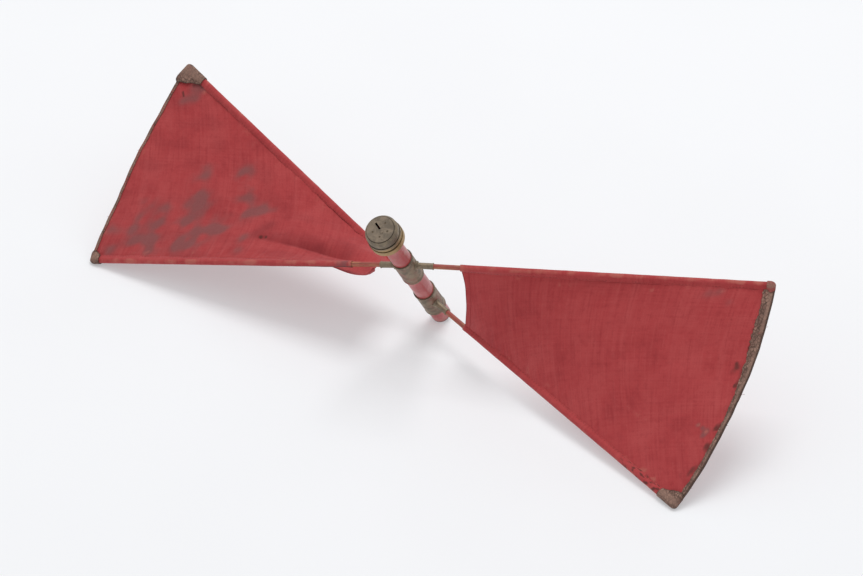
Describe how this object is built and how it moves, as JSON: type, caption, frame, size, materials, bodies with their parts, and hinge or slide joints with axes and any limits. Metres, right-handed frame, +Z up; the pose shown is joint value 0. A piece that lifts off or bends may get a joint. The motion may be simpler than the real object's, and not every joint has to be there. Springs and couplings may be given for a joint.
{
  "type": "folding semaphore signal",
  "caption": "Folding bow-tie semaphore signal: two red cloth fans on wooden rods, held by brass collars that turn on a red staff with a turned brass head.",
  "frame": {"origin": "centre of the resting footprint, on the floor that the foot rim and two arm tips touch", "axes": "+Z up from the floor, +X along the longest spread of the fans, with the cap plate leaning towards the -X -Y corner"},
  "size_m": [0.8668, 0.656, 0.2377],
  "materials": {
    "staff_paint": "old red paint, worn and rubbed",
    "head_brass": "turned brass, dull olive patina with brighter grooves",
    "plate_brass": "dull grey-brown patinated brass with scratches",
    "collar_brass": "patinated brass with traces of red paint",
    "stud_iron": "dark rusted heads",
    "rod_wood": "hardwood rod, red paint worn to brown",
    "fan_cloth": "plain-weave cotton, faded red dope, stained",
    "sleeve_cloth": "plain-weave cotton wrapped round the rod, rubbed along the top",
    "edge_leather": "brown leather tape, worn and cracked"
  },
  "bodies": {
    "staff": {"staff_tube": "staff_paint", "head_drum": "head_brass", "cap_ring": "head_brass", "cap_plate": "plate_brass", "cap_pin": "plate_brass", "plate_studs": "stud_iron"},
    "lower_arms": {"lower_collar": "collar_brass", "lower_right_socket": "collar_brass", "lower_left_socket": "collar_brass", "lower_right_rod": "rod_wood", "lower_left_rod": "rod_wood", "lower_right_sleeve": "sleeve_cloth", "lower_left_sleeve": "sleeve_cloth", "lower_right_pocket_leather": "edge_leather", "lower_left_pocket_leather": "edge_leather", "right_cloth": "fan_cloth", "left_cloth": "fan_cloth", "right_binding": "edge_leather", "left_binding": "edge_leather", "right_inner_hem": "fan_cloth", "left_inner_hem": "fan_cloth"},
    "upper_arms": {"upper_collar": "collar_brass", "upper_right_socket": "collar_brass", "upper_left_socket": "collar_brass", "upper_right_rod": "rod_wood", "upper_left_rod": "rod_wood", "upper_right_sleeve": "sleeve_cloth", "upper_left_sleeve": "sleeve_cloth", "upper_right_pocket_leather": "edge_leather", "upper_left_pocket_leather": "edge_leather"}
  },
  "joints": [
    {"name": "arms_turn", "type": "hinge", "parent": "staff", "child": "lower_arms", "pos_m": [0.01088, 0.02414, 0.05021], "axis": [-0.2943, -0.4756, 0.8289], "continuous": true},
    {"name": "fan_fold", "type": "hinge", "parent": "lower_arms", "child": "upper_arms", "pos_m": [-0.01826, -0.02295, 0.13227], "axis": [0.2943, 0.4756, -0.8289], "range_deg": [0, 33], "deforming": ["right_cloth", "left_cloth", "right_binding", "left_binding", "right_inner_hem", "left_inner_hem"]}
  ]
}
